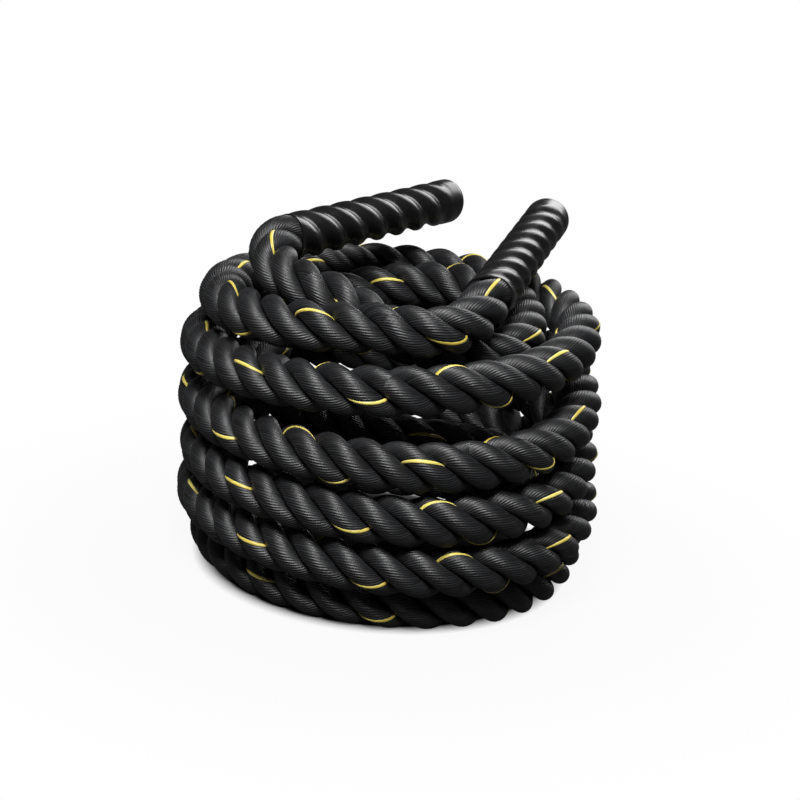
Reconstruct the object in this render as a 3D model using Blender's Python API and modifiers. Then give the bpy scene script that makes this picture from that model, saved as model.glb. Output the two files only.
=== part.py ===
"""Battle rope: a three-strand training rope coiled in a free-standing stack.

Metres, +Z up. The stack stands on the floor at Z = 0, its outline centred on the origin,
and the side that faces -Y is the front. Both ends of the rope come up over the coil into a
heat-shrink handle. The rope winds down the outside of the stack from handle B, climbs
back up inside the last turn, and comes out at handle A.
"""

import math

import bmesh
import bpy
from mathutils import Vector

# Rope
rope_diameter = 0.050          # circle round the crests of the three strands
tube_diameter = 0.048          # mean of crests and valleys, the plain tube's size
lay_length = 0.110             # length in which a strand goes once round the rope
strand_count = 3

# Handles
sleeve_length = 0.285          # heat-shrink end cap, mouth to tip
sleeve_wall = 0.0018
sleeve_fit = 0.0005            # clearance between the strands and the sleeve
tip_fillet = 0.011             # rounding of the closed end
tape_width = 0.020             # tape wound round the strands at the cut end
tape_thickness = 0.0007
mouth_flare_length = 0.030     # where the sleeve widens to the rope's free size

# Gaps
seam_gap = 0.0003              # between pieces that lie face to face
strand_gap = 0.0004            # between neighbouring strands

# The strands lie closer together in the sleeve than in the free rope
strand_circle_share = 0.245    # their centres' circle radius, in rope diameters
valley_share = 0.5             # how deep the sleeve dips between strands, in strand radii
tape_inset_share = 1.5         # from the cut end to the tape, in tape thicknesses

# The coil's axis stands off the middle of the whole by this much, because its turns differ
coil_axis_x = -0.00307
coil_axis_y = 0.00159

# Each turn of the coil is set at four corners: front right, front left, back left and
# back right, in that order. Both tables are in rope diameters, from the coil's axis and
# from the floor. The first row is the top turn; the last two climb inside the stack.
turn_radius_shares = (
    (2.95, 3.62, 3.55, 3.86),
    (3.87, 3.93, 4.02, 3.82),
    (4.16, 3.96, 4.01, 3.73),
    (4.27, 3.98, 3.82, 3.80),
    (4.37, 3.90, 4.06, 4.02),
    (3.85, 3.45, 3.74, 2.60),
    (2.74, 2.70, 2.60, 2.81),
    (2.57, 2.45, 2.45, 2.40),
)
turn_height_shares = (
    (6.30, 5.86, 5.64, 5.53),
    (5.15, 4.80, 4.58, 4.49),
    (3.62, 3.54, 3.55, 3.38),
    (2.52, 2.50, 2.52, 2.33),
    (1.47, 1.45, 1.42, 1.20),
    (0.40, 0.40, 0.40, 1.20),
    (3.25, 3.95, 5.02, 5.60),
    (5.32, 5.44, 5.44, 5.44),
)
first_corner_share = 0.375     # where the first corner lies, in turns from the back
coil_start_share = 0.545       # the ends of the coil, in the same turns
coil_end_share = 7.250
points_per_turn = 24
tangent_steps = 20             # parts of a step in which an end's direction is taken

# The free stretches, chosen by hand, in rope diameters. The crossing leaves the coil's
# inner end and passes under lead B; lead A goes on from it round a tight bend; lead B
# rises from the coil's outer end. The last point of each lead is its handle's mouth.
crossing_shares = (
    (2.40, -1.57, 5.33), (1.97, -2.04, 5.25), (1.40, -2.30, 5.28), (0.77, -2.42, 5.43),
    (0.12, -2.42, 5.69), (-0.55, -2.32, 5.98), (-1.21, -2.13, 6.26),
)
lead_a_shares = (
    (-2.04, -1.76, 6.44), (-2.43, -1.33, 6.58), (-2.59, -0.80, 6.78), (-2.338, -0.211, 6.948),
)
lead_b_shares = (
    (0.52, -3.50, 6.07), (1.04, -3.30, 6.08), (1.48, -2.84, 6.17), (1.859, -1.889, 6.424),
)
handle_a_bearing = math.radians(53.5)      # from +X towards +Y
handle_a_rise = math.radians(1.4)
handle_b_bearing = math.radians(75.3)
handle_b_rise = math.radians(6.0)

# Facets
sleeve_sides = 24
rings_per_lay = 12
fillet_rings = 4
strand_points_per_lay = 12
lead_step_share = 0.5          # spacing of a lead's points, in rope diameters
stub_share = 0.2               # straight run at a lead's ends, in rope diameters
strand_stub_share = 0.5        # straight run at a strand's ends, in strand radii
neighbour_share = 6.0          # length of rope that counts as next to itself
tape_steps = 24
smooth_angle = math.radians(50.0)


def start_scene():
    """Empty the scene and make the two collections."""
    for old in list(bpy.data.objects):
        bpy.data.objects.remove(old, do_unlink=True)
    made = []
    for name in ("battle_rope", "cutters"):
        collection = bpy.data.collections.new(name)
        bpy.context.scene.collection.children.link(collection)
        made.append(collection)
    return made


def make_material(name, colour, roughness):
    material = bpy.data.materials.new(name)
    material.use_nodes = True
    shader = material.node_tree.nodes["Principled BSDF"]
    shader.inputs["Base Color"].default_value = (*colour, 1.0)
    shader.inputs["Roughness"].default_value = roughness
    shader.inputs["Metallic"].default_value = 0.0
    return material


def smooth_between(before, start, end, after, share):
    """Catmull-Rom: a smooth value between start and end."""
    return 0.5 * (
        2.0 * start
        + (end - before) * share
        + (2.0 * before - 5.0 * start + 4.0 * end - after) * share ** 2
        + (3.0 * start - before - 3.0 * end + after) * share ** 3
    )


def smooth_line(points, step):
    """Points about a step apart on a smooth curve from points[1] to points[-2]."""
    line = []
    for before, start, end, after in zip(points, points[1:], points[2:], points[3:]):
        count = max(1, round((end - start).length / step))
        for index in range(count):
            line.append(smooth_between(before, start, end, after, index / count))
    line.append(points[-2])
    return line


def place_at(shares):
    """A place given in rope diameters from the coil's axis and the floor."""
    return Vector((coil_axis_x, coil_axis_y, 0.0)) + Vector(shares) * rope_diameter


def coil_point(turns):
    """Centre of the rope, a number of turns on from the back of the top turn."""
    radii = [share for row in turn_radius_shares for share in row]
    heights = [share for row in turn_height_shares for share in row]
    corner = (turns - first_corner_share) * len(turn_radius_shares[0])
    index = math.floor(corner)
    near = [max(0, min(len(radii) - 1, index + offset)) for offset in (-1, 0, 1, 2)]
    radius = smooth_between(*(radii[i] for i in near), corner - index)
    height = smooth_between(*(heights[i] for i in near), corner - index)
    angle = math.pi / 2.0 - math.tau * turns
    return place_at((radius * math.cos(angle), radius * math.sin(angle), height))


def coil_line():
    """The whole coil, its ends running straight for one tube diameter."""
    length = coil_end_share - coil_start_share
    count = round(length * points_per_turn)
    line = [coil_point(coil_start_share + length * i / count) for i in range(count + 1)]
    step = length / count / tangent_steps
    outward = line[0] - coil_point(coil_start_share + step)
    inward = line[-1] - coil_point(coil_end_share - step)
    first = line[0] + outward.normalized() * tube_diameter
    last = line[-1] + inward.normalized() * tube_diameter
    return [first, *line, last]


def least_gap(line, apart):
    """Least clear distance between stretches of the tube further apart than this."""
    runs = [0.0]
    for start, end in zip(line, line[1:]):
        runs.append(runs[-1] + (end - start).length)
    fine = []
    for index in range(len(line) - 1):
        for part in range(4):
            share = part / 4
            run = runs[index] + (runs[index + 1] - runs[index]) * share
            fine.append((run, line[index].lerp(line[index + 1], share)))
    least = math.inf
    for index, (run, point) in enumerate(fine):
        for other_run, other in fine[index + 1:]:
            if other_run - run > apart:
                least = min(least, (other - point).length)
    return least - tube_diameter


def add_tube(name, line, diameter, resolution, material, collection, upright=False):
    """A tube along a line of points, with filled and welded caps, as a mesh."""
    curve = bpy.data.curves.new(name, "CURVE")
    curve.dimensions = "3D"
    curve.bevel_depth = diameter / 2.0
    curve.bevel_resolution = resolution
    curve.use_fill_caps = True
    if upright:
        curve.twist_mode = "Z_UP"
    spline = curve.splines.new("POLY")
    spline.points.add(len(line) - 1)
    for point, place in zip(spline.points, line):
        point.co = (*place, 1.0)
    source = bpy.data.objects.new(name, curve)
    collection.objects.link(source)
    depsgraph = bpy.context.evaluated_depsgraph_get()
    mesh = bpy.data.meshes.new_from_object(source.evaluated_get(depsgraph))
    matrix = source.matrix_world.copy()
    bpy.data.objects.remove(source, do_unlink=True)
    shell = bmesh.new()
    shell.from_mesh(mesh)
    bmesh.ops.remove_doubles(shell, verts=shell.verts, dist=seam_gap / 10.0)
    bmesh.ops.recalc_face_normals(shell, faces=shell.faces)
    shell.to_mesh(mesh)
    shell.free()
    return add_mesh(name, mesh, material, collection, matrix)


def add_mesh(name, mesh, material, collection, matrix=None):
    mesh.name = name
    mesh.materials.clear()
    mesh.materials.append(material)
    mesh.shade_smooth()
    mesh.set_sharp_from_angle(angle=smooth_angle)
    piece = bpy.data.objects.new(name, mesh)
    if matrix is not None:
        piece.matrix_world = matrix
    collection.objects.link(piece)
    return piece


def cut_below_floor(piece, line, cutters):
    """Flatten the lowest turn where it stands on the floor."""
    reach = max(max(abs(point.x), abs(point.y)) for point in line) + rope_diameter
    bpy.ops.mesh.primitive_cube_add(size=1.0)
    floor = bpy.context.active_object
    floor.name = "floor_cutter"
    floor.scale = (2.0 * reach, 2.0 * reach, rope_diameter)
    floor.location = (0.0, 0.0, -rope_diameter / 2.0)
    floor.hide_render = True
    floor.display_type = "WIRE"
    for owner in list(floor.users_collection):
        owner.objects.unlink(floor)
    cutters.objects.link(floor)
    cut = piece.modifiers.new("floor", "BOOLEAN")
    cut.operation = "DIFFERENCE"
    cut.solver = "EXACT"
    cut.object = floor


def strand_spacing(circle):
    """Least distance between the centre lines of two neighbouring strands."""
    neighbour = math.tau / strand_count
    rise = lay_length / math.tau
    least = math.inf
    samples = 400
    for index in range(samples):
        turn = -neighbour * index / samples
        across = 2.0 * circle ** 2 * (1.0 - math.cos(neighbour + turn))
        least = min(least, math.sqrt(across + (rise * turn) ** 2))
    return least


# Sizes inside the sleeve, from the strands outwards
strand_circle = rope_diameter * strand_circle_share
strand_radius = (strand_spacing(strand_circle) - strand_gap) / 2.0
bundle_radius = strand_circle + strand_radius
valley_depth = strand_radius * valley_share
tape_inner = bundle_radius + seam_gap
tape_outer = tape_inner + tape_thickness
sleeve_outer = tape_outer + sleeve_fit + sleeve_wall
mouth_flare = tube_diameter / 2.0 + sleeve_fit + sleeve_wall - sleeve_outer
tip_inner = sleeve_length - sleeve_wall
cut_end = tip_inner - tip_fillet
tape_end = cut_end - tape_thickness * tape_inset_share
tape_start = tape_end - tape_width


def lobe_at(angle, along):
    """1 over a strand's crest, 0 over the valley between two strands."""
    turn = angle - math.tau * along / lay_length
    return 0.5 + 0.5 * math.cos(strand_count * turn)


def sleeve_radius(angle, along, depth):
    """Radius of the sleeve at a depth in its wall: it dips between the strands."""
    round_from = tape_start - tape_width / 2.0
    fade = min(1.0, max(0.0, (round_from - along) / tape_width))
    radius = sleeve_outer - depth - valley_depth * fade * (1.0 - lobe_at(angle, along))
    radius += mouth_flare * max(0.0, 1.0 - along / mouth_flare_length) ** 2
    into_tip = along - (sleeve_length - tip_fillet)
    if into_tip > 0.0:
        fillet = tip_fillet - depth
        radius -= fillet - math.sqrt(max(0.0, fillet ** 2 - into_tip ** 2))
    return radius


def sleeve_side(shell, depth):
    """One side of the sleeve's wall, from the mouth to the closed tip, as loops."""
    straight = sleeve_length - tip_fillet
    rings = round(straight / lay_length * rings_per_lay)
    places = [straight * i / rings for i in range(rings + 1)]
    for index in range(1, fillet_rings + 1):
        share = math.sin(math.pi / 2.0 * index / fillet_rings)
        places.append(straight + (tip_fillet - depth) * share)
    loops = []
    for along in places:
        loop = []
        for side in range(sleeve_sides):
            angle = math.tau * side / sleeve_sides
            radius = sleeve_radius(angle, along, depth)
            place = (along, radius * math.cos(angle), radius * math.sin(angle))
            loop.append(shell.verts.new(place))
        loops.append(loop)
    for near, far in zip(loops, loops[1:]):
        add_band(shell, near, far)
    shell.faces.new(loops[-1])
    return loops


def add_band(shell, near, far):
    for side in range(sleeve_sides):
        after = (side + 1) % sleeve_sides
        shell.faces.new((near[side], near[after], far[after], far[side]))


def add_sleeve(name, material, collection):
    """Heat-shrink end cap, open at the mouth and closed at the tip, along +X."""
    shell = bmesh.new()
    outside = sleeve_side(shell, 0.0)
    inside = sleeve_side(shell, sleeve_wall)
    add_band(shell, outside[0], inside[0])
    bmesh.ops.recalc_face_normals(shell, faces=shell.faces)
    mesh = bpy.data.meshes.new(name)
    shell.to_mesh(mesh)
    shell.free()
    return add_mesh(name, mesh, material, collection)


def add_strand(name, number, material, collection):
    """One of the rope's three strands, from the mouth to the cut end, along +X."""
    stub = strand_radius * strand_stub_share
    start = seam_gap + stub
    length = cut_end - stub - start
    count = round(length / lay_length * strand_points_per_lay)
    line = []
    for index in range(count + 1):
        along = start + length * index / count
        angle = math.tau * (along / lay_length + number / strand_count)
        line.append(Vector((along, strand_circle * math.cos(angle), strand_circle * math.sin(angle))))
    straight = Vector((stub, 0.0, 0.0))
    line = [line[0] - straight, *line, line[-1] + straight]
    return add_tube(name, line, 2.0 * strand_radius, 2, material, collection)


def add_tape(name, material, collection):
    """Tape wound round the strands at the cut end: a turned band, along +X."""
    mesh = bpy.data.meshes.new(name)
    profile = bmesh.new()
    middle = (tape_inner + tape_outer) / 2.0
    ends = [profile.verts.new((x, middle, 0.0)) for x in (tape_end, tape_start)]
    profile.edges.new(ends)
    profile.to_mesh(mesh)
    profile.free()
    band = add_mesh(name, mesh, material, collection)
    turned = band.modifiers.new("turned", "SCREW")
    turned.axis = "X"
    turned.steps = tape_steps
    turned.render_steps = tape_steps
    turned.use_merge_vertices = True
    turned.merge_threshold = seam_gap / 3.0
    turned.use_normal_calculate = True
    wall = band.modifiers.new("wall", "SOLIDIFY")
    wall.thickness = tape_thickness
    wall.offset = 0.0
    return band


def add_handle(letter, mouth, bearing, rise, materials, collection):
    """A sleeve, the strands in it and their tape, hung on an empty at the mouth."""
    mount = bpy.data.objects.new("handle_" + letter + "_axis", None)
    mount.location = mouth
    mount.rotation_euler = (0.0, -rise, bearing)
    collection.objects.link(mount)
    sleeve = add_sleeve("handle_" + letter + "_sleeve", materials["sleeve"], collection)
    sleeve.location.x = seam_gap
    pieces = [sleeve, add_tape("handle_" + letter + "_tape", materials["tape"], collection)]
    for number in range(strand_count):
        name = "handle_" + letter + "_strand_" + str(number + 1)
        pieces.append(add_strand(name, number, materials["rope"], collection))
    for piece in pieces:
        piece.parent = mount


def free_line(start, out, places, end, into):
    """A free stretch, straight for a stub at both ends and smooth between them."""
    stub = rope_diameter * stub_share
    points = [start, start + out * stub, *places, end - into * stub, end]
    gap = out * seam_gap
    return [start + gap, *smooth_line(points, rope_diameter * lead_step_share), end]


def heading(bearing, rise):
    return Vector((
        math.cos(bearing) * math.cos(rise),
        math.sin(bearing) * math.cos(rise),
        math.sin(rise),
    ))


def build():
    rope_parts, cutters = start_scene()
    materials = {
        "rope": make_material("rope_black_polyester", (0.020, 0.020, 0.022), 0.80),
        "sleeve": make_material("sleeve_black_heat_shrink", (0.014, 0.014, 0.015), 0.35),
        "tape": make_material("tape_black_vinyl", (0.018, 0.018, 0.018), 0.50),
    }

    coil = coil_line()
    coil_piece = add_tube("rope_coil", coil, tube_diameter, 1, materials["rope"], rope_parts, True)
    cut_below_floor(coil_piece, coil, cutters)
    least = least_gap(coil, rope_diameter * neighbour_share)
    print("least gap of the coil to itself, mm:", round(least * 1000.0, 2))

    crossing = [place_at(point) for point in crossing_shares]
    *lead_a, mouth_a = [place_at(point) for point in lead_a_shares]
    *lead_b, mouth_b = [place_at(point) for point in lead_b_shares]
    into_a = heading(handle_a_bearing, handle_a_rise)
    into_b = heading(handle_b_bearing, handle_b_rise)
    inner_out = (coil[-1] - coil[-2]).normalized()
    outer_out = (coil[0] - coil[1]).normalized()

    # Lead A goes on from the middle of the run that leaves the crossing
    joint = (crossing[-1] + lead_a[0]) / 2.0
    joint_way = (lead_a[0] - crossing[-1]).normalized()
    stretches = (
        ("rope_crossing", free_line(coil[-1], inner_out, crossing, joint, joint_way)),
        ("rope_lead_a", free_line(joint, joint_way, lead_a, mouth_a, into_a)),
        ("rope_lead_b", free_line(coil[0], outer_out, lead_b, mouth_b, into_b)),
    )
    for name, line in stretches:
        add_tube(name, line, tube_diameter, 2, materials["rope"], rope_parts)

    add_handle("a", mouth_a, handle_a_bearing, handle_a_rise, materials, rope_parts)
    add_handle("b", mouth_b, handle_b_bearing, handle_b_rise, materials, rope_parts)


build()
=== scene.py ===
import math

import bmesh
import bpy
import numpy as np
from mathutils import Matrix, Vector


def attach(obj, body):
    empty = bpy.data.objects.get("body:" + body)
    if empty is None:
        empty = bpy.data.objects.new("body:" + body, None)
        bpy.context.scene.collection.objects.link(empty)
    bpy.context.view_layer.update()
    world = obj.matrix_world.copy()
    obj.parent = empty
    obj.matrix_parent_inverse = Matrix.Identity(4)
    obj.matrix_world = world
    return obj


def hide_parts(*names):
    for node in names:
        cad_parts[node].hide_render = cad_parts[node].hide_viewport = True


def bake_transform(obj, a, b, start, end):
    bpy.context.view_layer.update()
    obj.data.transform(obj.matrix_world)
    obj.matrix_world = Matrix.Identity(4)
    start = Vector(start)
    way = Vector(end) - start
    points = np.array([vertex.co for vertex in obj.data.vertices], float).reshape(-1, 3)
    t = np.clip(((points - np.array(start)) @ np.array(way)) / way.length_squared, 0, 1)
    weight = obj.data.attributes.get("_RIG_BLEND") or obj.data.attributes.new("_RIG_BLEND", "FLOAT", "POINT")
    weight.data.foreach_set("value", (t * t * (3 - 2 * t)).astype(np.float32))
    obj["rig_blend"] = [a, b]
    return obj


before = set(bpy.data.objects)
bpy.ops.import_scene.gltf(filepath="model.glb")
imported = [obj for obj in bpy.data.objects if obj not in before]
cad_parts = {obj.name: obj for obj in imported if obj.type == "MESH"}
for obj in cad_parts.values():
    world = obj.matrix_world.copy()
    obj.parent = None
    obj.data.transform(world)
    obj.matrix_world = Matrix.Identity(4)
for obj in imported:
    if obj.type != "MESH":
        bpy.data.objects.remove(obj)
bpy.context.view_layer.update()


# The rope's line
# One length of rope, 50 mm thick, wound down the outside of the stack from handle B, up again
# inside it, over the front and into handle A. All lengths are metres from the cut end in
# handle B, and the tables are in rope diameters from the coil's axis and the floor.
rope_diameter = 0.050
tube_diameter = 0.048
lay_length = 0.110
coil_axis_x = -0.00307
coil_axis_y = 0.00159
turn_radius_shares = (
    (2.95, 3.62, 3.55, 3.86),
    (3.87, 3.93, 4.02, 3.82),
    (4.16, 3.96, 4.01, 3.73),
    (4.27, 3.98, 3.82, 3.80),
    (4.37, 3.90, 4.06, 4.02),
    (3.85, 3.45, 3.74, 2.60),
    (2.74, 2.70, 2.60, 2.81),
    (2.57, 2.45, 2.45, 2.40),
)
turn_height_shares = (
    (6.30, 5.86, 5.64, 5.53),
    (5.15, 4.80, 4.58, 4.49),
    (3.62, 3.54, 3.55, 3.38),
    (2.52, 2.50, 2.52, 2.33),
    (1.47, 1.45, 1.42, 1.20),
    (0.40, 0.40, 0.40, 1.20),
    (3.25, 3.95, 5.02, 5.60),
    (5.32, 5.44, 5.44, 5.44),
)
first_corner_share = 0.375
coil_start_share = 0.545
coil_end_share = 7.250
points_per_turn = 24
crossing_shares = (
    (2.40, -1.57, 5.33), (1.97, -2.04, 5.25), (1.40, -2.30, 5.28), (0.77, -2.42, 5.43),
    (0.12, -2.42, 5.69), (-0.55, -2.32, 5.98), (-1.21, -2.13, 6.26),
)
lead_a_shares = (
    (-2.04, -1.76, 6.44), (-2.43, -1.33, 6.58), (-2.59, -0.80, 6.78), (-2.338, -0.211, 6.948),
)
lead_b_shares = (
    (0.52, -3.50, 6.07), (1.04, -3.30, 6.08), (1.48, -2.84, 6.17), (1.859, -1.889, 6.424),
)
handle_a_bearing = math.radians(53.5)
handle_a_rise = math.radians(1.4)
handle_b_bearing = math.radians(75.3)
handle_b_rise = math.radians(6.0)
rope_in_handle = 0.2722        # from the sleeve's mouth to the cut end
points_in_handle = 6
stub_share = 0.2               # straight rope just outside the mouth
kink_reach_share = 0.45        # length over which small kinks are taken out
rest_height_share = 0.465      # lowest place of the rope's centre, pressed a little flat
rings_per_lay = 36


def smooth_between(before, start, end, after, share):
    """A value between start and end, on a smooth curve through all four."""
    return 0.5 * (
        2.0 * start
        + (end - before) * share
        + (2.0 * before - 5.0 * start + 4.0 * end - after) * share ** 2
        + (3.0 * start - before - 3.0 * end + after) * share ** 3
    )


def place_at(shares):
    return np.array((coil_axis_x, coil_axis_y, 0.0)) + np.array(shares) * rope_diameter


def coil_point(turns):
    """The coil's centre after so many turns down from the back of the top one."""
    radii = [share for row in turn_radius_shares for share in row]
    heights = [share for row in turn_height_shares for share in row]
    corner = (turns - first_corner_share) * len(turn_radius_shares[0])
    index = math.floor(corner)
    near = [max(0, min(len(radii) - 1, index + offset)) for offset in (-1, 0, 1, 2)]
    radius = smooth_between(*(radii[i] for i in near), corner - index)
    height = smooth_between(*(heights[i] for i in near), corner - index)
    angle = math.pi / 2.0 - math.tau * turns
    return place_at((radius * math.cos(angle), radius * math.sin(angle), height))


def heading(bearing, rise):
    return np.array((
        math.cos(bearing) * math.cos(rise),
        math.sin(bearing) * math.cos(rise),
        math.sin(rise),
    ))


def handle_line(mouth, way):
    """From just outside the sleeve's mouth, straight to the cut end inside it."""
    stub = rope_diameter * stub_share
    inside = np.linspace(stub, rope_in_handle, points_in_handle)
    return [mouth - way * stub, mouth] + [mouth + way * along for along in inside]


def spaced(line, step):
    """The same line with points an even step apart."""
    runs = np.concatenate(([0.0], np.cumsum(np.linalg.norm(np.diff(line, axis=0), axis=1))))
    count = round(runs[-1] / step)
    places = np.linspace(0.0, runs[-1], count + 1)
    return np.stack([np.interp(places, runs, line[:, axis]) for axis in range(3)], axis=1)


def through(places, step):
    """A smooth line through places, about a step apart."""
    line = []
    padded = [2.0 * places[0] - places[1], *places, 2.0 * places[-1] - places[-2]]
    for before, start, end, after in zip(padded, padded[1:], padded[2:], padded[3:]):
        count = max(1, round(np.linalg.norm(end - start) / step))
        for index in range(count):
            line.append(smooth_between(before, start, end, after, index / count))
    line.append(places[-1])
    return spaced(np.array(line), step)


def rounded(line, reach):
    """The line with its small kinks taken out over a reach of so many points."""
    window = np.hanning(2 * reach + 1)
    window /= window.sum()
    padded = np.pad(line, ((reach, reach), (0, 0)), mode="edge")
    return np.stack([np.convolve(padded[:, axis], window, "valid") for axis in range(3)], axis=1)


count = round((coil_end_share - coil_start_share) * points_per_turn)
turn_step = (coil_end_share - coil_start_share) / count
coil = [coil_point(coil_start_share + turn_step * index) for index in range(count + 1)]
tangent_step = turn_step / 20.0
outward = coil[0] - coil_point(coil_start_share + tangent_step)
inward = coil[-1] - coil_point(coil_end_share - tangent_step)
coil_start = coil[0] + outward / np.linalg.norm(outward) * tube_diameter
coil_end = coil[-1] + inward / np.linalg.norm(inward) * tube_diameter
crossing = [place_at(share) for share in crossing_shares]
*lead_a, mouth_a = [place_at(share) for share in lead_a_shares]
*lead_b, mouth_b = [place_at(share) for share in lead_b_shares]
into_a = heading(handle_a_bearing, handle_a_rise)
into_b = heading(handle_b_bearing, handle_b_rise)
joint_a = (crossing[-1] + lead_a[0]) / 2.0
joint_b = coil_start

route = handle_line(mouth_b, into_b)[::-1] + lead_b[::-1]
route += [coil_start, *coil, coil_end, *crossing, *lead_a]
route += handle_line(mouth_a, into_a)
step = lay_length / rings_per_lay
line = through(route, step)
line[:, 2] = np.maximum(line[:, 2], rope_diameter * rest_height_share)
softer = rounded(line, round(kink_reach_share * rope_diameter / step))
from_mouth = np.minimum(
    np.linalg.norm(line - mouth_a, axis=1), np.linalg.norm(line - mouth_b, axis=1)
)
run = np.arange(len(line)) * step
outside = (run > rope_in_handle) & (run < run[-1] - rope_in_handle)
share = np.where(outside, np.clip(from_mouth / rope_diameter, 0.0, 1.0), 0.0)[:, None]
line = spaced(line + (softer - line) * share, step)
along = np.arange(len(line)) * step
rope_length = float(along[-1])


def nearest(place):
    return int(np.argmin(np.linalg.norm(line - place, axis=1)))


# The strands don't lie quite evenly: coiling has turned the rope a little this way and that.
# Values in turns at handle B's cut end and mouth, the front of each of the coil's turns, and
# handle A's mouth and cut end.
front_share = 0.55
twists_b = (-0.13, 0.15)
twists_coil = (0.26, -0.01, 0.34, 0.21, -0.03, -0.24, -0.20)
twists_a = (0.01, 0.15)
fronts = [nearest(coil_point(number + front_share)) for number in range(len(twists_coil))]
fronts = [0, nearest(mouth_b), *fronts, nearest(mouth_a), len(line) - 1]
twist = np.interp(along, along[fronts], twists_b + twists_coil + twists_a)

# A frame that is carried along the rope without turning about it
way = np.gradient(line, axis=0)
way /= np.linalg.norm(way, axis=1)[:, None]
side = np.zeros_like(line)
side[0] = np.cross(way[0], (0.0, 0.0, 1.0))
side[0] /= np.linalg.norm(side[0])
for index in range(1, len(line)):
    carried = side[index - 1] - way[index] * np.dot(side[index - 1], way[index])
    side[index] = carried / np.linalg.norm(carried)


# The yarns
# Black spun polyester, dull with a faint sheen: each strand is a bundle of yarns, and each
# yarn a twist of fine fibres. The tracer is the same yarn in yellow, a little glossier.
yarn_count = 22
fibres_per_metre = 700.0
fibre_breaks_per_metre = 60.0
clouds_per_metre = 9.0
yarn_bump = 0.0003


def wired(tree, kind, *inputs, **settings):
    """A node with these settings, its inputs linked or set in their order."""
    node = tree.nodes.new(kind)
    for key, value in settings.items():
        setattr(node, key, value)
    for socket, value in zip(node.inputs, inputs):
        if isinstance(value, bpy.types.NodeSocket):
            tree.links.new(value, socket)
        elif value is not None:
            socket.default_value = value
    return node


def calculator(tree):
    """A function that adds a math node to the tree and gives its result."""
    def math_of(operation, *values):
        return wired(tree, "ShaderNodeMath", *values, operation=operation).outputs[0]

    return math_of


def new_material(name):
    material = bpy.data.materials.new(name)
    material.use_nodes = True
    tree = material.node_tree
    return material, tree, tree.nodes["Principled BSDF"]


def yarn_material(name, dark, light, roughness, sheen, fibres):
    """Fine fibres that lie a little askew in yarns, each with its own depth of colour,
    and painted shade that darkens the grooves between the yarns.
    """
    material, tree, shader = new_material(name)
    link = tree.links.new
    math_of = calculator(tree)
    weave = wired(tree, "ShaderNodeUVMap", uv_map="yarn")
    parts = wired(tree, "ShaderNodeSeparateXYZ", weave.outputs["UV"])
    run, turn = parts.outputs["X"], parts.outputs["Y"]
    lean = math_of("MULTIPLY", run, fibres_per_metre)
    lean = math_of("ADD", lean, math_of("MULTIPLY", turn, fibres))
    breaks = math_of("MULTIPLY", run, fibre_breaks_per_metre)
    place = wired(tree, "ShaderNodeCombineXYZ", lean, breaks)
    streak = wired(tree, "ShaderNodeTexNoise", place.outputs[0], None, 1.0, 3.0, 0.6)
    which = math_of("FLOOR", math_of("MULTIPLY", turn, float(yarn_count)))
    patch = math_of("MULTIPLY", run, clouds_per_metre)
    spot = wired(tree, "ShaderNodeCombineXYZ", which, patch)
    cloud = wired(tree, "ShaderNodeTexNoise", spot.outputs[0], None, 1.7, 2.0, 0.5)
    mixed = math_of("MULTIPLY", streak.outputs[0], cloud.outputs[0])
    spread = wired(tree, "ShaderNodeMapRange", mixed, 0.13, 0.36, 0.06, 1.0)
    # Painted shade: the grooves between the yarns are darker in the colour itself, standing in for the
    # shadow the yarns cast on each other.
    groove = wired(tree, "ShaderNodeAttribute", attribute_name="groove")
    groove_shade = wired(tree, "ShaderNodeMapRange", groove.outputs["Fac"], 0.0, 0.6, 1.0, 0.0)
    shade = math_of("MULTIPLY", spread.outputs[0], groove_shade.outputs[0])
    colour = wired(tree, "ShaderNodeMix", data_type="RGBA")
    colour.inputs["A"].default_value = (*dark, 1.0)
    colour.inputs["B"].default_value = (*light, 1.0)
    link(shade, colour.inputs["Factor"])
    link(colour.outputs["Result"], shader.inputs["Base Color"])
    rough = wired(tree, "ShaderNodeMapRange", streak.outputs[0], 0.3, 0.7, *roughness)
    link(rough.outputs[0], shader.inputs["Roughness"])
    bump = wired(tree, "ShaderNodeBump")
    bump.inputs["Strength"].default_value = 0.6
    bump.inputs["Distance"].default_value = yarn_bump
    link(streak.outputs[0], bump.inputs["Height"])
    link(bump.outputs[0], shader.inputs["Normal"])
    shader.inputs["Sheen Weight"].default_value = sheen
    shader.inputs["Sheen Roughness"].default_value = 0.45
    shader.inputs["Specular IOR Level"].default_value = 0.5
    return material


black_yarn = yarn_material(
    "black_polyester_yarn", (0.001, 0.001, 0.001), (0.026, 0.027, 0.030), (0.52, 0.36), 0.01, 130.0
)
yellow_yarn = yarn_material(
    "yellow_tracer_yarn", (0.38, 0.26, 0.01), (0.90, 0.80, 0.22), (0.42, 0.30), 0.05, 60.0
)


# The laid rope
# Three strands laid right-handed, each a bundle of 22 yarns twisted the other way, so that
# the yarns run along the rope. One strand carries a yellow tracer a yarn and a half wide.
# Inside the handles the strands are squeezed together by the shrunk sleeve.
strand_count = 3
strand_circle = 0.0141
strand_radius = 0.0109
yarn_groove = 0.0011
yarn_lay = 0.375 * lay_length  # rope length in which a yarn comes up once on its strand
tracer_start = 0.23
tracer_rise = 0.0006
squeezed_share = 0.864         # size of the strands in the sleeve, of their free size
squeeze_length = 0.030
points_per_yarn = 3
tracer_points = 1.5            # half the tracer's width, in points of the strand's section
map_shape = 1.36               # makes the picture map's spots about square on a strand
bend_start_share = 0.36        # where a lifted end starts to bend, past its joint
bend_end_share = 0.53          # where it is all turned, before the middle of the mouth
turn_pieces = 7


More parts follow.
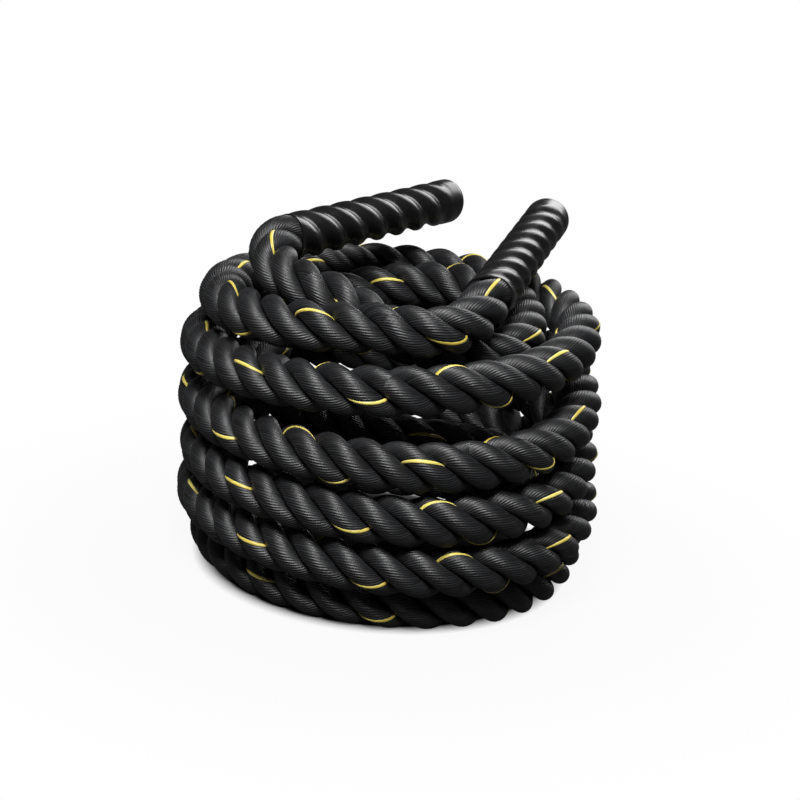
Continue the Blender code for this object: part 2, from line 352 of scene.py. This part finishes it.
def strand_tree():
    """Three strands of ribbed yarns, laid round the edges of a mesh line."""
    tree = bpy.data.node_groups.new("laid_strands", "GeometryNodeTree")
    sockets = (
        ("Line", "NodeSocketGeometry"),
        ("Lay length", "NodeSocketFloat"),
        ("Strand circle", "NodeSocketFloat"),
        ("Strand radius", "NodeSocketFloat"),
        ("Strands", "NodeSocketInt"),
        ("Yarns", "NodeSocketInt"),
        ("Yarn groove", "NodeSocketFloat"),
        ("Yarn lay", "NodeSocketFloat"),
        ("Tracer start", "NodeSocketFloat"),
        ("Tracer rise", "NodeSocketFloat"),
        ("Black yarn", "NodeSocketMaterial"),
        ("Tracer yarn", "NodeSocketMaterial"),
    )
    for name, kind in sockets:
        tree.interface.new_socket(name, in_out="INPUT", socket_type=kind)
    tree.interface.new_socket("Rope", in_out="OUTPUT", socket_type="NodeSocketGeometry")
    given = tree.nodes.new("NodeGroupInput").outputs
    math_of = calculator(tree)

    def scaled(vector, size):
        node = wired(tree, "ShaderNodeVectorMath", vector, operation="SCALE")
        tree.links.new(size, node.inputs["Scale"])
        return node.outputs[0]

    def attribute(name, kind="FLOAT"):
        node = wired(tree, "GeometryNodeInputNamedAttribute", name, data_type=kind)
        return node.outputs["Attribute"]

    def stored(geometry, name, value, kind="FLOAT", domain="POINT"):
        node = wired(
            tree, "GeometryNodeStoreNamedAttribute", geometry, data_type=kind, domain=domain
        )
        node.inputs["Name"].default_value = name
        tree.links.new(value, node.inputs["Value"])
        return node.outputs["Geometry"]

    # Strands, side by side round the rope's line
    curve = wired(tree, "GeometryNodeMeshToCurve", given["Line"])
    copies = wired(tree, "GeometryNodeDuplicateElements", curve.outputs[0], domain="SPLINE")
    tree.links.new(given["Strands"], copies.inputs["Amount"])
    numbered = stored(
        copies.outputs["Geometry"], "strand", copies.outputs["Duplicate Index"], "INT", "CURVE"
    )
    turns = math_of("DIVIDE", attribute("along"), given["Lay length"])
    offset = math_of("DIVIDE", attribute("strand", "INT"), given["Strands"])
    turns = math_of("ADD", math_of("ADD", turns, offset), attribute("twist"))
    angle = math_of("MULTIPLY", turns, math.tau)
    rope_way = wired(tree, "GeometryNodeInputTangent").outputs[0]
    rope_side = attribute("side", "FLOAT_VECTOR")
    across = wired(
        tree, "ShaderNodeVectorMath", rope_way, rope_side, operation="CROSS_PRODUCT"
    ).outputs[0]
    out = wired(
        tree, "ShaderNodeVectorMath", scaled(rope_side, math_of("COSINE", angle)),
        scaled(across, math_of("SINE", angle)), operation="ADD",
    ).outputs[0]
    marked = stored(numbered, "out", out, "FLOAT_VECTOR")
    reach = math_of("MULTIPLY", given["Strand circle"], attribute("squeeze"))
    laid = wired(tree, "GeometryNodeSetPosition", marked)
    tree.links.new(scaled(attribute("out", "FLOAT_VECTOR"), reach), laid.inputs["Offset"])

    # The yarns' turn about their strand is a tilt from the outward direction
    sized = wired(tree, "GeometryNodeSetCurveRadius", laid.outputs[0])
    tree.links.new(attribute("squeeze"), sized.inputs["Radius"])
    normals = wired(tree, "GeometryNodeSetCurveNormal", sized.outputs[0], mode="FREE")
    tree.links.new(attribute("out", "FLOAT_VECTOR"), normals.inputs["Normal"])
    yarn_turns = math_of("DIVIDE", attribute("along"), given["Yarn lay"])
    yarn_turns = math_of("ADD", yarn_turns, given["Tracer start"])
    tilted = wired(tree, "GeometryNodeSetCurveTilt", normals.outputs[0])
    tree.links.new(math_of("MULTIPLY", yarn_turns, -math.tau), tilted.inputs["Tilt"])

    # The section of a strand: a ring of round yarns with a groove between each two
    sides = math_of("MULTIPLY", given["Yarns"], float(points_per_yarn))
    ring = wired(tree, "GeometryNodeCurvePrimitiveCircle", sides, mode="RADIUS")
    tree.links.new(given["Strand radius"], ring.inputs["Radius"])
    number = wired(tree, "GeometryNodeInputIndex").outputs[0]
    from_start = math_of("MINIMUM", number, math_of("SUBTRACT", sides, number))
    between = math_of("MODULO", number, float(points_per_yarn))
    is_groove = math_of("LESS_THAN", between, 0.5)
    is_tracer = math_of("LESS_THAN", from_start, tracer_points)
    place = wired(tree, "GeometryNodeInputPosition").outputs[0]

    def section(groove, tracer, rise):
        # The groove mark also darkens the yarns' colour in their material, as painted shade.
        shape = stored(ring.outputs[0], "groove", groove)
        shape = stored(shape, "tracer", tracer)
        shape = stored(shape, "around", math_of("DIVIDE", number, sides))
        sunk = math_of("MULTIPLY", groove, given["Yarn groove"])
        change = math_of("DIVIDE", math_of("SUBTRACT", rise, sunk), given["Strand radius"])
        moved = wired(tree, "GeometryNodeSetPosition", shape)
        tree.links.new(scaled(place, change), moved.inputs["Offset"])
        return moved.outputs[0]

    nothing = math_of("MULTIPLY", is_tracer, 0.0)
    plain = section(is_groove, nothing, nothing)
    out_of_way = math_of("DIVIDE", from_start, float(points_per_yarn))
    crown = math_of("SUBTRACT", 1.0, math_of("MULTIPLY", out_of_way, out_of_way))
    crown = math_of("MULTIPLY", math_of("MULTIPLY", crown, is_tracer), given["Tracer rise"])
    left_groove = math_of("MULTIPLY", is_groove, math_of("SUBTRACT", 1.0, is_tracer))
    traced = section(left_groove, is_tracer, crown)

    # The first strand carries the tracer
    first = math_of("LESS_THAN", attribute("strand", "INT"), 0.5)
    parted = wired(tree, "GeometryNodeSeparateGeometry", tilted.outputs[0], domain="CURVE")
    tree.links.new(first, parted.inputs["Selection"])
    one = wired(tree, "GeometryNodeCurveToMesh", parted.outputs["Selection"], traced)
    others = wired(tree, "GeometryNodeCurveToMesh", parted.outputs["Inverted"], plain)
    both = tree.nodes.new("GeometryNodeJoinGeometry")
    tree.links.new(others.outputs[0], both.inputs[0])
    tree.links.new(one.outputs[0], both.inputs[0])
    real = wired(tree, "GeometryNodeRealizeInstances", both.outputs[0])
    black = wired(tree, "GeometryNodeSetMaterial", real.outputs[0])
    tree.links.new(given["Black yarn"], black.inputs["Material"])
    yellow = wired(tree, "GeometryNodeSetMaterial", black.outputs[0])
    seen = math_of("GREATER_THAN", attribute("tracer"), 0.4)
    tree.links.new(seen, yellow.inputs["Selection"])
    tree.links.new(given["Tracer yarn"], yellow.inputs["Material"])
    end = tree.nodes.new("NodeGroupOutput")
    tree.links.new(yellow.outputs[0], end.inputs[0])
    return tree


laid_strands = strand_tree()
into_sleeve = rope_in_handle - np.minimum(along, rope_length - along)
squeezed = 0.5 - 0.5 * np.cos(np.pi * np.clip(into_sleeve / squeeze_length, 0.0, 1.0))
squeeze = 1.0 - (1.0 - squeezed_share) * squeezed


def placed(name, data):
    """An object in the scene that shows this data."""
    thing = bpy.data.objects.new(name, data)
    bpy.context.scene.collection.objects.link(thing)
    return thing


def lay_rope(name, first, last):
    """The rope between two points of its line, as one closed mesh."""
    start = max(0, first - 1)
    end = min(len(line) - 1, last + 1)
    path = bpy.data.meshes.new(name + "_line")
    path.from_pydata(line[start:end + 1].tolist(), [(i, i + 1) for i in range(end - start)], [])
    for key, kind, values in (
        ("along", "FLOAT", along),
        ("squeeze", "FLOAT", squeeze),
        ("twist", "FLOAT", twist),
        ("side", "FLOAT_VECTOR", side),
    ):
        field = "vector" if kind == "FLOAT_VECTOR" else "value"
        chosen = values[start:end + 1].astype(np.float32).ravel()
        path.attributes.new(key, kind, "POINT").data.foreach_set(field, chosen)
    guide = placed(name + "_line", path)
    layer = guide.modifiers.new("strands", "NODES")
    layer.node_group = laid_strands
    sizes = {
        "Lay length": lay_length,
        "Strand circle": strand_circle,
        "Strand radius": strand_radius,
        "Strands": strand_count,
        "Yarns": yarn_count,
        "Yarn groove": yarn_groove,
        "Yarn lay": yarn_lay,
        "Tracer start": tracer_start,
        "Tracer rise": tracer_rise,
        "Black yarn": black_yarn,
        "Tracer yarn": yellow_yarn,
    }
    for item in laid_strands.interface.items_tree:
        if item.name in sizes:
            layer[item.identifier] = sizes[item.name]
    depsgraph = bpy.context.evaluated_depsgraph_get()
    mesh = bpy.data.meshes.new_from_object(guide.evaluated_get(depsgraph))
    bpy.data.objects.remove(guide, do_unlink=True)
    return finished(name, mesh, along[first], along[last])


def finished(name, mesh, low, high):
    """Trim to the stretch, close its ends, flatten what rests on the floor, map its yarns."""
    shell = bmesh.new()
    shell.from_mesh(mesh)
    place = shell.verts.layers.float["along"]
    spare = step / 4.0
    beyond = [v for v in shell.verts if not low - spare < v[place] < high + spare]
    bmesh.ops.delete(shell, geom=beyond, context="VERTS")
    rims = [edge for edge in shell.edges if edge.is_boundary]
    bmesh.ops.holes_fill(shell, edges=rims, sides=0)
    for face in shell.faces:
        face.smooth = True
    for edge in rims:
        edge.smooth = False
    for vertex in shell.verts:
        vertex.co.z = max(0.0, vertex.co.z)
    bmesh.ops.recalc_face_normals(shell, faces=shell.faces)
    shell.to_mesh(mesh)
    shell.free()
    map_yarns(mesh)
    mesh.name = name
    return placed(name, mesh)


def map_yarns(mesh):
    """One map in metres along the rope and turns round the strand, and one for a picture."""
    corners = len(mesh.loops)
    faces = len(mesh.polygons)
    vertex = np.zeros(corners, np.int32)
    mesh.loops.foreach_get("vertex_index", vertex)
    first = np.zeros(faces, np.int32)
    mesh.polygons.foreach_get("loop_start", first)
    sizes = np.zeros(faces, np.int32)
    mesh.polygons.foreach_get("loop_total", sizes)
    read = {}
    for key in ("along", "around", "strand"):
        values = np.zeros(len(mesh.vertices), np.int32 if key == "strand" else np.float32)
        mesh.attributes[key].data.foreach_get("value", values)
        read[key] = values[vertex].astype(float)
    face_of = np.repeat(np.arange(faces), sizes)
    highest = np.maximum.reduceat(read["around"], first)[face_of]
    around = np.where((highest - read["around"]) > 0.5, read["around"] + 1.0, read["around"])
    mesh.uv_layers.new(name="yarn")
    mesh.uv_layers["yarn"].data.foreach_set(
        "uv", np.stack((read["along"], around), axis=1).astype(np.float32).ravel()
    )
    # The picture map: the strands' faces end to end, broken into rows
    low = read["along"].min()
    length = read["along"].max() - low
    total = length * strand_count
    rows = max(1, round(math.sqrt(total * map_shape / (math.tau * strand_radius))))
    row_length = total / rows
    lowest = np.minimum.reduceat(read["along"], first)[face_of]
    row = np.floor((read["strand"] * length + lowest - low) / row_length + 1e-6)
    row = np.minimum(row, rows - 1)
    across = (read["strand"] * length + read["along"] - low - row * row_length) / row_length
    # Narrow margins keep a row's ends and edges apart from what lies next to them
    spot = np.stack((0.003 + 0.98 * across, (row + 0.02 + 0.96 * around) / rows), axis=1)
    mesh.uv_layers.new(name="OFBake")
    mesh.uv_layers["OFBake"].data.foreach_set("uv", spot.clip(0, 1).astype(np.float32).ravel())
    mesh.uv_layers.active = mesh.uv_layers["OFBake"]


end_b_last = nearest(joint_b)
end_a_first = nearest(joint_a)
marks = [round(v) for v in np.linspace(end_b_last, end_a_first, turn_pieces + 1)]
for number, (first, last) in enumerate(zip(marks, marks[1:]), 1):
    piece = lay_rope(f"rope_turn_{number}", first, last)
    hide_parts("rope_coil")
    if number == turn_pieces:
        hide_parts("rope_crossing")
    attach(piece, "coil")

for letter, first, last, joint, mouth, into in (
    ("a", end_a_first, len(line) - 1, joint_a, mouth_a, into_a),
    ("b", 0, end_b_last, joint_b, mouth_b, into_b),
):
    piece = lay_rope("rope_end_" + letter, first, last)
    strands = [f"handle_{letter}_strand_{number}" for number in (1, 2, 3)]
    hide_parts("rope_lead_" + letter, *strands)
    # The bend spreads over the lead alone: all of the mouth's slanting section moves with it
    way = (mouth - joint) / np.linalg.norm(mouth - joint)
    slant = float(np.linalg.norm(np.cross(into, way)))
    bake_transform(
        piece, "coil", "end_" + letter,
        start=(joint + way * rope_diameter * bend_start_share).tolist(),
        end=(mouth - way * rope_diameter * bend_end_share * slant).tolist(),
    )


# The handles
# A heat-shrink cap over each end of the rope, shrunk on with hot air. It draws down between
# the strands, so that their lay stands out as slanting ridges, and closes round at the tip.
sleeve_length = 0.285
sleeve_wall = 0.0018
sleeve_outer = 0.0250
mouth_radius = 0.0263
mouth_flare_length = 0.030
mouth_depth_share = 0.55       # depth of the valleys at the mouth, of their full depth
mouth_gap = 0.0003             # between the free rope's line and the sleeve's edge
tip_fillet = 0.011
tip_rings = 12
sleeve_rings = 150
sleeve_sides = 96
valley_depth = 0.0048
crest_breadth = 1.25           # above 1 the crests are broader than the valleys
ridges_end = 0.241
ridges_fade = 0.020
sharp_edge = math.radians(50.0)


def sleeve_radius(turn, along_it, depth):
    """Radius of the sleeve over a turn counted from the nearest strand's crest."""
    crest = 0.5 + 0.5 * math.cos(strand_count * math.tau * turn)
    crest = 1.0 - (1.0 - crest) ** crest_breadth
    fade = min(1.0, max(0.0, (ridges_end + ridges_fade - along_it) / ridges_fade))
    near_mouth = (1.0 - mouth_depth_share) * along_it / mouth_flare_length
    mouth_fade = min(1.0, mouth_depth_share + near_mouth)
    radius = sleeve_outer - depth - valley_depth * fade * mouth_fade * (1.0 - crest)
    flare = max(0.0, 1.0 - along_it / mouth_flare_length)
    radius += (mouth_radius - sleeve_outer) * flare ** 2
    into_tip = along_it - (sleeve_length - tip_fillet)
    if into_tip > 0.0:
        fillet = tip_fillet - depth
        radius -= fillet - math.sqrt(max(0.0, fillet ** 2 - into_tip ** 2))
    return radius


shrink_material, tree, shader = new_material("black_heat_shrink")
where = wired(tree, "ShaderNodeTexCoord")
wrinkle = wired(tree, "ShaderNodeTexNoise", where.outputs["Object"], None, 55.0, 4.0, 0.55)
grain = wired(tree, "ShaderNodeTexNoise", where.outputs["Object"], None, 900.0, 2.0, 0.5)
rough = wired(tree, "ShaderNodeMapRange", wrinkle.outputs[0], 0.3, 0.7, 0.25, 0.33)
tree.links.new(rough.outputs[0], shader.inputs["Roughness"])
tone = wired(tree, "ShaderNodeMix", data_type="RGBA")
tone.inputs["A"].default_value = (0.0035, 0.0035, 0.0040, 1.0)
tone.inputs["B"].default_value = (0.0070, 0.0070, 0.0075, 1.0)
tree.links.new(wrinkle.outputs[0], tone.inputs["Factor"])
tree.links.new(tone.outputs["Result"], shader.inputs["Base Color"])
both = wired(
    tree, "ShaderNodeMath", grain.outputs[0], 0.15, wrinkle.outputs[0], operation="MULTIPLY_ADD"
)
bump = wired(tree, "ShaderNodeBump")
bump.inputs["Strength"].default_value = 0.35
bump.inputs["Distance"].default_value = 0.0006
tree.links.new(both.outputs[0], bump.inputs["Height"])
tree.links.new(bump.outputs[0], shader.inputs["Normal"])


def join_loops(shell, near, far):
    """A band of faces between two rings of as many points."""
    for number in range(len(near)):
        after = (number + 1) % len(near)
        shell.faces.new((near[number], near[after], far[after], far[number]))


def add_sleeve(letter, mouth, into, index, backward):
    """The cap, lofted ring by ring over the strands at the mouth's point of the line."""
    first = side[index]
    second = np.cross(into, first)
    straight = sleeve_length - tip_fillet
    shell = bmesh.new()
    rims = []
    for depth in (0.0, sleeve_wall):
        places = [straight * number / sleeve_rings for number in range(sleeve_rings + 1)]
        for number in range(1, tip_rings + 1):
            rounding = math.sin(math.pi / 2 * number / tip_rings)
            places.append(straight + (tip_fillet - depth) * rounding)
        loops = []
        for spot in places:
            rope_along = along[index] + (-spot if backward else spot)
            crest_turn = rope_along / lay_length + np.interp(rope_along, along, twist)
            loop = []
            for number in range(sleeve_sides):
                turn = number / sleeve_sides
                angle = math.tau * turn
                own = -turn if backward else turn
                radius = sleeve_radius(own - crest_turn, spot, depth)
                outward = first * math.cos(angle) + second * math.sin(angle)
                place = mouth + into * (spot + mouth_gap) + outward * radius
                loop.append(shell.verts.new(place))
            loops.append(loop)
        for near, far in zip(loops, loops[1:]):
            join_loops(shell, near, far)
        shell.faces.new(loops[-1])
        rims.append(loops[0])
    join_loops(shell, *rims)
    bmesh.ops.recalc_face_normals(shell, faces=shell.faces)
    mesh = bpy.data.meshes.new("grip_" + letter)
    shell.to_mesh(mesh)
    shell.free()
    mesh.materials.append(shrink_material)
    mesh.shade_smooth()
    mesh.set_sharp_from_angle(angle=sharp_edge)
    grip = placed("grip_" + letter, mesh)
    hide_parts(f"handle_{letter}_sleeve")
    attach(grip, "end_" + letter)


add_sleeve("a", mouth_a, into_a, nearest(mouth_a), False)
add_sleeve("b", mouth_b, into_b, nearest(mouth_b), True)


# The end tape
# Vinyl tape wound round the strands at each cut end, under the cap.
tape_material, tree, shader = new_material("black_vinyl_tape")
where = wired(tree, "ShaderNodeTexCoord")
fine = wired(tree, "ShaderNodeTexNoise", where.outputs["Object"], None, 400.0, 3.0, 0.5)
rough = wired(tree, "ShaderNodeMapRange", fine.outputs[0], 0.3, 0.7, 0.4, 0.6)
tree.links.new(rough.outputs[0], shader.inputs["Roughness"])
shader.inputs["Base Color"].default_value = (0.018, 0.018, 0.018, 1.0)
for letter in "ab":
    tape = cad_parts[f"handle_{letter}_tape"]
    for slot in tape.material_slots:
        slot.material = tape_material


# The room
# A white sweep under soft studio light: one wide lamp above the front, and a wider, weaker
# one behind, whose light lies along the sleeves. Under the stack itself the floor's colour is
# painted dark, a painted shadow. The camera sees the white nearly in full beyond the stack's
# foot and in full further out, and glossy surfaces mirror a trace of it.
floor_size = 6.0
floor_drop = 0.0005            # below the stack's foot
painted_shadow_radius = 0.170            # painted shadow: the floor's colour is dark as far as this from the axis,
pale_radius = 0.200            # and pale from here on
glow_start = 0.185             # the white shown to the camera starts here,
glow_near = 0.205              # is nearly full here
glow_full = 0.600              # and full here
near_share = 0.93
pale_tone = 0.35
painted_shadow_tone = 0.03
mirrored_share = 0.05
dim_light = 0.03               # what the surround lends to the object itself


def white_seen(tree):
    """How much of the white background a ray shows."""
    seen = wired(tree, "ShaderNodeLightPath").outputs
    math_of = calculator(tree)
    straight = math_of("MAXIMUM", seen["Is Camera Ray"], seen["Is Transmission Ray"])
    return math_of("MULTIPLY_ADD", seen["Is Glossy Ray"], mirrored_share, straight)


floor_mesh = bpy.data.meshes.new("floor")
shell = bmesh.new()
bmesh.ops.create_grid(shell, x_segments=1, y_segments=1, size=floor_size)
for vertex in shell.verts:
    vertex.co.z = -floor_drop
shell.to_mesh(floor_mesh)
shell.free()
placed("floor", floor_mesh)
floor_material, tree, shader = new_material("white_floor")
shader.inputs["Roughness"].default_value = 0.9
shader.inputs["Specular IOR Level"].default_value = 0.1
glow = wired(tree, "ShaderNodeEmission", (1.0, 1.0, 1.0, 1.0), 1.0)
where = wired(tree, "ShaderNodeTexCoord")
distance = wired(
    tree, "ShaderNodeVectorMath", where.outputs["Object"], operation="LENGTH"
).outputs["Value"]
outside = wired(tree, "ShaderNodeMapRange", distance, glow_start, glow_near, 0.0, near_share)
fade = wired(tree, "ShaderNodeMapRange", distance, glow_near, glow_full, 0.0, 1.0 - near_share)
fade.interpolation_type = "SMOOTHSTEP"
math_of = calculator(tree)
white = math_of("ADD", outside.outputs[0], fade.outputs[0])
# Painted shadow: the floor's own colour is dark under the stack, where the rope shades it, and the glow is
# held back there so that this dark shows.
floor_tone_with_painted_shadow = wired(
    tree, "ShaderNodeMapRange", distance, painted_shadow_radius, pale_radius, painted_shadow_tone, pale_tone
)
tree.links.new(floor_tone_with_painted_shadow.outputs[0], shader.inputs["Base Color"])
amount = math_of("MULTIPLY", white, white_seen(tree))
dull = wired(tree, "ShaderNodeBsdfDiffuse", (0.05, 0.05, 0.05, 1.0))
from_camera = wired(tree, "ShaderNodeLightPath").outputs["Is Camera Ray"]
lit = wired(tree, "ShaderNodeMixShader", from_camera, dull.outputs[0], shader.outputs[0])
mixed = wired(tree, "ShaderNodeMixShader", amount, lit.outputs[0], glow.outputs[0])
tree.links.new(mixed.outputs[0], tree.nodes["Material Output"].inputs["Surface"])
floor_mesh.materials.append(floor_material)

world = bpy.data.worlds.new("surround")
bpy.context.scene.world = world
world.use_nodes = True
tree = world.node_tree
tree.nodes.clear()
clear = wired(tree, "ShaderNodeBackground", (1.0, 1.0, 1.0, 1.0), 1.0)
dim = wired(tree, "ShaderNodeBackground", (1.0, 1.0, 1.0, 1.0), dim_light)
mixed = wired(
    tree, "ShaderNodeMixShader", white_seen(tree), dim.outputs[0], clear.outputs[0]
)
wired(tree, "ShaderNodeOutputWorld", mixed.outputs[0])


def add_lamp(name, place, target, width, power):
    light = bpy.data.lights.new(name, "AREA")
    light.shape = "SQUARE"
    light.size = width
    light.energy = power
    lamp = placed(name, light)
    lamp.location = place
    lamp.rotation_euler = (Vector(target) - Vector(place)).to_track_quat("-Z", "Y").to_euler()


add_lamp("key", (-0.15, -1.4, 2.05), (0.0, 0.0, 0.2), 0.8, 85.0)
add_lamp("back", (0.85, 1.3, 1.3), (0.0, 0.0, 0.3), 1.2, 25.0)

bpy.context.scene.view_settings.view_transform = "Standard"


# The camera
# It stands in front of the stack and a little above it, turned slightly about its own line of
# sight, as the photograph was.
aim = Vector((0.0096, -0.0012, 0.1787))
away = 1.9
elevation = math.radians(18.0)
roll = math.radians(4.5)
camera = bpy.data.cameras.new("camera")
camera.lens = 80.0
camera.sensor_width = 36.0
eye = placed("camera", camera)
eye.location = aim + Vector((0.0, -math.cos(elevation), math.sin(elevation))) * away
tipped = Matrix.Rotation(math.pi / 2.0 - elevation, 3, "X") @ Matrix.Rotation(roll, 3, "Z")
eye.rotation_euler = tipped.to_euler()
bpy.context.scene.camera = eye
